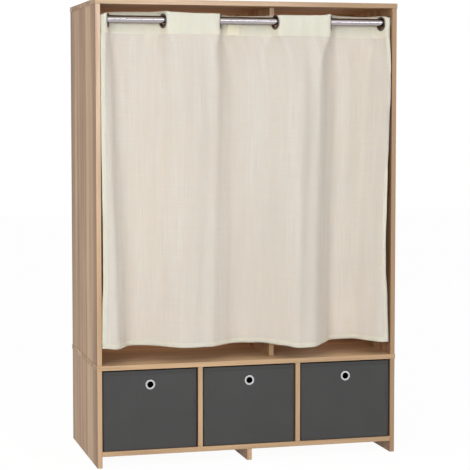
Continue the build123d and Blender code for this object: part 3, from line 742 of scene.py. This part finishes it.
def make_cloth():
    mesh = flat_sheet(0, CURTAIN_WIDTH, 0, CURTAIN_LENGTH)
    for centre in EYELET_FLAT:
        punch(mesh, centre, EYELET_HOLE)
    cloth = add_piece("curtain_cloth", hang(mesh), "cloth", ROOT)
    thicken(cloth, CLOTH_THICKNESS)
    return cloth


def make_hem(name, left, right, top, bottom, front=False):
    """The turned-in ply of a hem on the cloth's rear, or a lap of the header on its front."""
    mesh = flat_sheet(left, right, top, bottom, HEM_CELL)
    for centre in EYELET_FLAT:
        if left < centre.x < right and top < centre.y < bottom:
            punch(mesh, centre, EYELET_HOLE)
    thickness = JOIN_PLY if front else HEM_PLY
    push = (CLOTH_THICKNESS + thickness) / 2
    ply = add_piece(name, hang(mesh, -push if front else push), "cloth", ROOT)
    thicken(ply, thickness)
    return ply


STITCH_PITCH = 0.0034
STITCH_LENGTH = 0.0024
STITCH_WIDTH = 0.0006
# How far the seams lie inside a hem's fold and stop before the cloth's edges
SEAM_INSET = 0.003
SEAM_END = 0.002
# Where the header's join and its own seam begin below the top edge, and that seam's inset
JOIN_TOP = 0.006
JOIN_SEAM_TOP = 0.020
JOIN_SEAM_INSET = 0.0015


def make_stitches(name, lines, push, finish_name):
    """Short rows of thread along lines on the flat cloth, each from a start to an end."""
    mesh = bmesh.new()
    places = []
    for start, end in lines:
        start, end = Vector(start), Vector(end)
        count = round((end - start).length / STITCH_PITCH)
        way = (end - start).normalized()
        for step in range(count):
            middle = start.lerp(end, (step + 0.5) / count)
            places.append((middle - way * STITCH_LENGTH / 2, middle + way * STITCH_LENGTH / 2))
    for first, last in places:
        ends = np.array([tuple(first), tuple(last)])
        here = hung(ends[:, 0], ends[:, 1])
        beside = hung(ends[:, 0] + TANGENT_STEP, ends[:, 1])
        along = beside - here
        away = np.column_stack([along[:, 1], -along[:, 0], np.zeros(2)])
        away /= np.maximum(np.linalg.norm(away, axis=1), 1e-9)[:, None]
        low, high = (Vector(p) for p in here + away * push)
        radius = STITCH_WIDTH / 2
        made = bmesh.ops.create_cone(
            mesh, cap_ends=True, segments=5, radius1=radius, radius2=radius, depth=1.0
        )["verts"]
        turn = (high - low).to_track_quat("Z", "Y").to_matrix().to_4x4()
        size = Matrix.Diagonal((1, 1, (high - low).length, 1))
        place = Matrix.Translation((low + high) / 2) @ turn @ size
        bmesh.ops.transform(mesh, matrix=place, verts=made)
    return add_piece(name, mesh, finish_name, ROOT)


def make_curtain():
    cloth = make_cloth()
    width, length = CURTAIN_WIDTH, CURTAIN_LENGTH
    join = np.interp(HEADER_JOIN_X, cloth_rows[0, :, 0], np.linspace(0, width, COLUMN_COUNT))
    plies = [
        make_hem(
            "curtain_header_join", join - JOIN_WIDTH, join, JOIN_TOP, HEADER_HEIGHT, front=True
        ),
        make_hem("curtain_header_ply", SIDE_HEM, width - SIDE_HEM, 0.0, HEADER_HEIGHT),
        make_hem("curtain_bottom_ply", SIDE_HEM, width - SIDE_HEM, length - BOTTOM_HEM, length),
        make_hem("curtain_left_ply", 0.0, SIDE_HEM, 0.0, length),
        make_hem("curtain_right_ply", width - SIDE_HEM, width, 0.0, length),
    ]
    header_seam = HEADER_HEIGHT - SEAM_INSET
    hem_seam = length - BOTTOM_HEM + SEAM_INSET
    left_seam, right_seam = SIDE_HEM - SEAM_INSET, width - SIDE_HEM + SEAM_INSET
    join_seam = join + JOIN_SEAM_INSET
    lines = (
        ((SEAM_END, header_seam), (width - SEAM_END, header_seam)),
        ((SEAM_END, hem_seam), (width - SEAM_END, hem_seam)),
        ((left_seam, SEAM_END), (left_seam, length - SEAM_END)),
        ((right_seam, SEAM_END), (right_seam, length - SEAM_END)),
        ((join_seam, JOIN_SEAM_TOP), (join_seam, header_seam)),
    )
    front_thread = make_stitches("curtain_stitches", lines, CLOTH_THICKNESS / 2, "cloth_thread")
    for piece in (cloth, *plies, front_thread):
        draws(piece)
    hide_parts("curtain")


make_curtain()


# Fabric boxes: card walls in charcoal felt, with a bound rim and a ring round the finger hole
WALL = 0.0034
BULGE = 0.0010
PANEL_CELL = 0.0075
CORNER_RADIUS = 0.006
CORNER_SEGMENTS = 4
FLOOR_RADIUS = 0.002
RIM_HEIGHT = 0.014
RIM_PLY = 0.0006
RIM_EDGE = 0.0008
FINGER_HOLE = 0.0135
# The front wall stays flat this far round its ring, and this deep behind its face
FLAT_RADIUS = 0.035
FLAT_DEPTH = 0.02
# A share this near an end belongs to the wall that stands there, and doesn't thin its bulge
WALL_END = 0.02
# Lengths under which points are one point, and lie in one plane
SAME_POINT = 1e-5
SAME_PLANE = 1e-4


def panel_bulge(place, low, high):
    """How far a wall swells at a place: most at its middle, nothing at its edges."""
    across, along, up = ((place[i] - low[i]) / (high[i] - low[i]) for i in range(3))
    crown = 1.0
    for share in (across, along):
        if WALL_END < share < 1 - WALL_END:
            crown *= sin(pi * share)
    return BULGE * crown * sin(pi * min(max(up, 0.0), 1.0) * 0.85 + 0.1)


def block(size, middle):
    mesh = bmesh.new()
    bmesh.ops.create_cube(mesh, size=1.0)
    bmesh.ops.scale(mesh, vec=size, verts=mesh.verts)
    bmesh.ops.translate(mesh, vec=middle, verts=mesh.verts)
    return mesh


def upright_edges(mesh, height):
    """The edges that climb more than half of a height."""
    return [e for e in mesh.edges if abs(e.verts[0].co.z - e.verts[1].co.z) > height / 2]


def round_edges(mesh, edges, radius, segments):
    bmesh.ops.bevel(
        mesh, geom=edges, offset=radius, segments=segments, profile=0.5, affect="EDGES", material=-1
    )


def cut_into_cells(mesh, low, size):
    """Cuts a block's faces along a grid from its low corner, so that they can swell."""
    for axis in range(3):
        normal = Vector((0, 0, 0))
        normal[axis] = 1
        cuts = round(size[axis] / PANEL_CELL)
        for step in range(1, cuts):
            place = low.copy()
            place[axis] = low[axis] + size[axis] * step / cuts
            everything = mesh.verts[:] + mesh.edges[:] + mesh.faces[:]
            bmesh.ops.bisect_plane(
                mesh, geom=everything, plane_co=place, plane_no=normal, dist=SAME_POINT
            )
    bmesh.ops.remove_doubles(mesh, verts=mesh.verts, dist=SAME_POINT)


def open_finger_hole(mesh, ring, front_y):
    """Opens a round hole in the front wall and draws the hole's rim to its circle."""
    hole_faces = [
        f for f in mesh.faces
        if abs(f.calc_center_median().y - front_y) < SAME_PLANE
        and any((v.co.xz - ring.xz).length < FINGER_HOLE * 0.8 for v in f.verts)
    ]
    bmesh.ops.delete(mesh, geom=hole_faces, context="FACES")
    for vertex in mesh.verts:
        away = vertex.co.xz - ring.xz
        at_front = vertex.is_boundary and abs(vertex.co.y - front_y) < SAME_PLANE
        if at_front and away.length < 2 * FINGER_HOLE:
            vertex.co.x, vertex.co.z = ring.xz + away.normalized() * FINGER_HOLE


def swell_walls(mesh, ring, low, high):
    """Moves the walls outward by their bulge, except round the ring."""
    for vertex in mesh.verts:
        if vertex.co.z > low.z + WALL:
            way = Vector((vertex.normal.x, vertex.normal.y, 0))
            near_ring = (vertex.co.xz - ring.xz).length < FLAT_RADIUS
            in_front = vertex.co.y < low.y + FLAT_DEPTH
            if way.length > 0.5 and not (near_ring and in_front):
                vertex.co += way.normalized() * panel_bulge(vertex.co, low, high)


def make_fabric_box(number):
    node = f"fabric_box_{number}"
    body = nodes[node]["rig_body"]
    low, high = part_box(node)
    ring_low, ring_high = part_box(f"box_grip_ring_{number}")
    ring = (ring_low + ring_high) / 2
    middle, size = (low + high) / 2, high - low
    inset = WALL / 2
    mesh = block(
        (size.x - 2 * inset, size.y - 2 * inset, size.z - inset), middle + Vector((0, 0, inset / 2))
    )
    round_edges(mesh, upright_edges(mesh, size.z), CORNER_RADIUS, CORNER_SEGMENTS)
    top = [f for f in mesh.faces if f.normal.z > 0.9]
    bmesh.ops.delete(mesh, geom=top, context="FACES")
    floor_edges = [e for e in mesh.edges if all(v.co.z < low.z + WALL for v in e.verts)]
    round_edges(mesh, floor_edges, FLOOR_RADIUS, 2)
    cut_into_cells(mesh, low, size)
    open_finger_hole(mesh, ring, low.y + inset)
    bmesh.ops.recalc_face_normals(mesh, faces=mesh.faces)
    swell_walls(mesh, ring, low, high)
    box = add_piece(f"fabric_box_shell_{number}", mesh, "felt", body)
    thicken(box, WALL)
    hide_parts(node)
    make_rim(number, low, high, body)


def make_rim(number, low, high, body):
    """Binding tape folded over the rim, wrapped round all four walls."""
    size = high - low
    middle = (low + high) / 2
    outer = Vector((size.x - WALL, size.y - WALL, RIM_HEIGHT))
    mesh = block(outer, (middle.x, middle.y, high.z - RIM_HEIGHT / 2 + RIM_PLY / 2))
    flat = [f for f in mesh.faces if abs(f.normal.z) > 0.9]
    bmesh.ops.delete(mesh, geom=flat, context="FACES")
    round_edges(mesh, upright_edges(mesh, RIM_HEIGHT), CORNER_RADIUS, CORNER_SEGMENTS)
    tape = add_piece(f"fabric_box_rim_{number}", mesh, "felt_tape", body)
    thicken(tape, WALL + 2 * RIM_PLY)
    edge = tape.modifiers.new("soft_edge", "BEVEL")
    edge.width = RIM_EDGE
    edge.segments = 2
    edge.limit_method = "ANGLE"


for number in range(1, BOX_COUNT + 1):
    make_fabric_box(number)

# Camera, fitted to the photograph's edges
IMAGE_SIZE = 470
FOCAL_PIXELS = 1599.55
PHOTO_YAW = radians(14.883)
PHOTO_PITCH = radians(3.789)
PHOTO_SHIFT = -0.05
SENSOR_WIDTH = 36.0
CAMERA_PLACE = (-1.4180, -5.3995, 1.1944)
camera_data = bpy.data.cameras.new("photo_camera")
camera_data.sensor_width = SENSOR_WIDTH
camera_data.lens = FOCAL_PIXELS / IMAGE_SIZE * SENSOR_WIDTH
camera_data.shift_y = PHOTO_SHIFT
camera = bpy.data.objects.new("photo_camera", camera_data)
camera.location = CAMERA_PLACE
camera.rotation_euler = (pi / 2 - PHOTO_PITCH, 0, -PHOTO_YAW)
scene.collection.objects.link(camera)
scene.camera = camera


def seen_rays(tree):
    """1 for the rays that look at the background: camera, glossy and transmitted ones."""
    rays = tree.nodes.new("ShaderNodeLightPath")
    total = rays.outputs["Is Camera Ray"]
    for other in ("Is Glossy Ray", "Is Transmission Ray"):
        step = tree.nodes.new("ShaderNodeMath")
        step.operation = "MAXIMUM"
        tree.links.new(total, step.inputs[0])
        tree.links.new(rays.outputs[other], step.inputs[1])
        total = step.outputs[0]
    return total


def show_one(tree, share, plain, shown, target):
    """Sends two shaders to a target, the second for a share of each ray."""
    choice = tree.nodes.new("ShaderNodeMixShader")
    tree.links.new(share, choice.inputs["Fac"])
    tree.links.new(plain.outputs[0], choice.inputs[1])
    tree.links.new(shown.outputs[0], choice.inputs[2])
    tree.links.new(choice.outputs[0], target.inputs["Surface"])


def background(tree, colour, strength):
    made = tree.nodes.new("ShaderNodeBackground")
    made.inputs["Color"].default_value = colour
    made.inputs["Strength"].default_value = strength
    return made


AMBIENT_COLOUR = (1.0, 0.985, 0.965, 1)
AMBIENT_STRENGTH = 0.48
WHITE = (1, 1, 1, 1)


def make_world():
    """Soft light from all round, and white for the rays that look at it."""
    world = bpy.data.worlds.new("studio")
    world.use_nodes = True
    tree = world.node_tree
    tree.nodes.clear()
    ambient = background(tree, AMBIENT_COLOUR, AMBIENT_STRENGTH)
    backdrop = background(tree, WHITE, 1.0)
    output = tree.nodes.new("ShaderNodeOutputWorld")
    show_one(tree, seen_rays(tree), ambient, backdrop, output)
    scene.world = world


FLOOR_SIZE = 12.0
FLOOR_TONE = 0.9
FLOOR_ROUGHNESS = 0.9
FLOOR_GLOW = 1.02
FLOOR_SHADOW_SHARE = 0.06


def make_floor():
    """A floor that glows white for the rays that look at it and keeps a share of its shadows."""
    mesh = bmesh.new()
    bmesh.ops.create_grid(mesh, x_segments=1, y_segments=1, size=FLOOR_SIZE)
    floor = to_object("studio_floor", mesh)
    material = bpy.data.materials.new("studio_floor")
    material.use_nodes = True
    tree = material.node_tree
    shader = tree.nodes["Principled BSDF"]
    shader.inputs["Base Color"].default_value = (FLOOR_TONE, FLOOR_TONE, FLOOR_TONE, 1)
    shader.inputs["Roughness"].default_value = FLOOR_ROUGHNESS
    glow = tree.nodes.new("ShaderNodeEmission")
    glow.inputs["Strength"].default_value = FLOOR_GLOW
    share = tree.nodes.new("ShaderNodeMath")
    share.operation = "MULTIPLY"
    share.inputs[1].default_value = 1 - FLOOR_SHADOW_SHARE
    tree.links.new(seen_rays(tree), share.inputs[0])
    show_one(tree, share.outputs[0], shader, glow, tree.nodes["Material Output"])
    floor.data.materials.append(material)


def add_lamp(name, place, target, size, power, width=None, colour=(1, 1, 1)):
    """A round soft lamp, or an oblong one of a width across X, whose face looks at the target."""
    data = bpy.data.lights.new(name, "AREA")
    data.shape = "RECTANGLE" if width else "DISK"
    data.size = width or size
    data.size_y = size
    data.energy = power
    data.color = colour
    lamp = bpy.data.objects.new(name, data)
    lamp.location = place
    lamp.rotation_euler = (Vector(target) - Vector(place)).to_track_quat("-Z", "Y").to_euler()
    lamp.visible_camera = False
    scene.collection.objects.link(lamp)


# Wood all round the bays lends their light its tone
BAY_GLOW = (1.0, 0.80, 0.66)
BAY_WIDTH = 0.94
# One in each shelf space, behind the curtain
SHELF_LAMP_HEIGHTS = (0.48, 0.78, 1.08, 1.34)

make_world()
make_floor()
add_lamp("key_lamp", (-2.3, -4.0, 1.8), (0, 0, 0.9), 1.8, 67)
add_lamp("side_lamp", (-4.2, 0.3, 1.3), (0, 0, 0.8), 1.6, 10)
add_lamp("high_lamp", (-0.8, -3.2, 3.6), (0, 0, 0.6), 1.8, 26)
add_lamp("strip_lamp", (1.0, -5.0, 1.60), (0, 0, 1.3), 0.23, 31, width=2.8)
for name, place, target, size, power, width in (
    ("upper_bay_lamp", (0, 0.10, 1.36), (0, 0.10, 2.0), 0.20, 0.60, BAY_WIDTH),
    ("lower_bay_lamp", (0, 0.12, 0.54), (0, 0.12, 0.0), 0.16, 0.46, BAY_WIDTH),
    ("hanging_bay_lamp", (-0.20, 0.06, 0.90), (-0.50, -0.25, 0.85), 0.50, 0.15, None),
    *(
        (f"shelf_lamp_{i + 1}", (0.30, 0.02, height), (0.504, -0.25, height), 0.16, 0.06, None)
        for i, height in enumerate(SHELF_LAMP_HEIGHTS)
    ),
):
    add_lamp(name, place, target, size, power, width, BAY_GLOW)
scene.view_settings.view_transform = "Standard"
